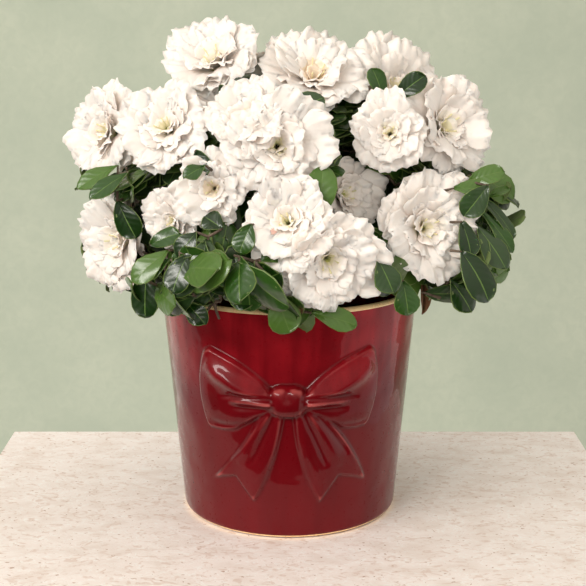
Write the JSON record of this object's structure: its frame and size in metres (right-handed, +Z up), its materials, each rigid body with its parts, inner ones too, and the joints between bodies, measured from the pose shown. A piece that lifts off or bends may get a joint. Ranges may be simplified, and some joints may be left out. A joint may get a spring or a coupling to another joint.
{
  "type": "potted azalea",
  "caption": "Flowering azalea with a domed crown of double white blooms and glossy leaves, planted in a tapered glazed pot with a moulded ribbon bow.",
  "frame": {"origin": "centre of the pot's flat underside", "axes": "+Z up along the pot's axis, -Y to the front where the bow is, +X to the viewer's right"},
  "size_m": [0.2662, 0.2572, 0.2898],
  "materials": {
    "glaze": "deep red gloss glaze with a gilded rim and a thin gold foot line",
    "peat": "moist crumbly dark peat",
    "bark": "rough grey-brown bark",
    "foliage": "glossy dark green leaves and soft ruffled white petals on thin twigs"
  },
  "bodies": {
    "root": {"bough_back_1": "bark", "bough_back_2": "bark", "bough_back_3": "bark", "bough_back_4": "bark", "bough_back_5": "bark", "bough_front_centre": "bark", "bough_front_left": "bark", "bough_front_low": "bark", "bough_left_shoulder": "bark", "bough_low_left": "bark", "bough_low_right": "bark", "bough_right_shoulder": "bark", "bough_top_back": "bark", "bough_top_left": "bark", "bough_top_right": "bark", "foliage_back_1": "foliage", "foliage_back_2": "foliage", "foliage_back_3": "foliage", "foliage_back_4": "foliage", "foliage_back_5": "foliage", "foliage_front_centre": "foliage", "foliage_front_left": "foliage", "foliage_front_low": "foliage", "foliage_left_shoulder": "foliage", "foliage_low_left": "foliage", "foliage_low_right": "foliage", "foliage_right_shoulder": "foliage", "foliage_top_back": "foliage", "foliage_top_left": "foliage", "foliage_top_right": "foliage", "pot": "glaze", "soil": "peat", "trunk": "bark"}
  },
  "joints": []
}
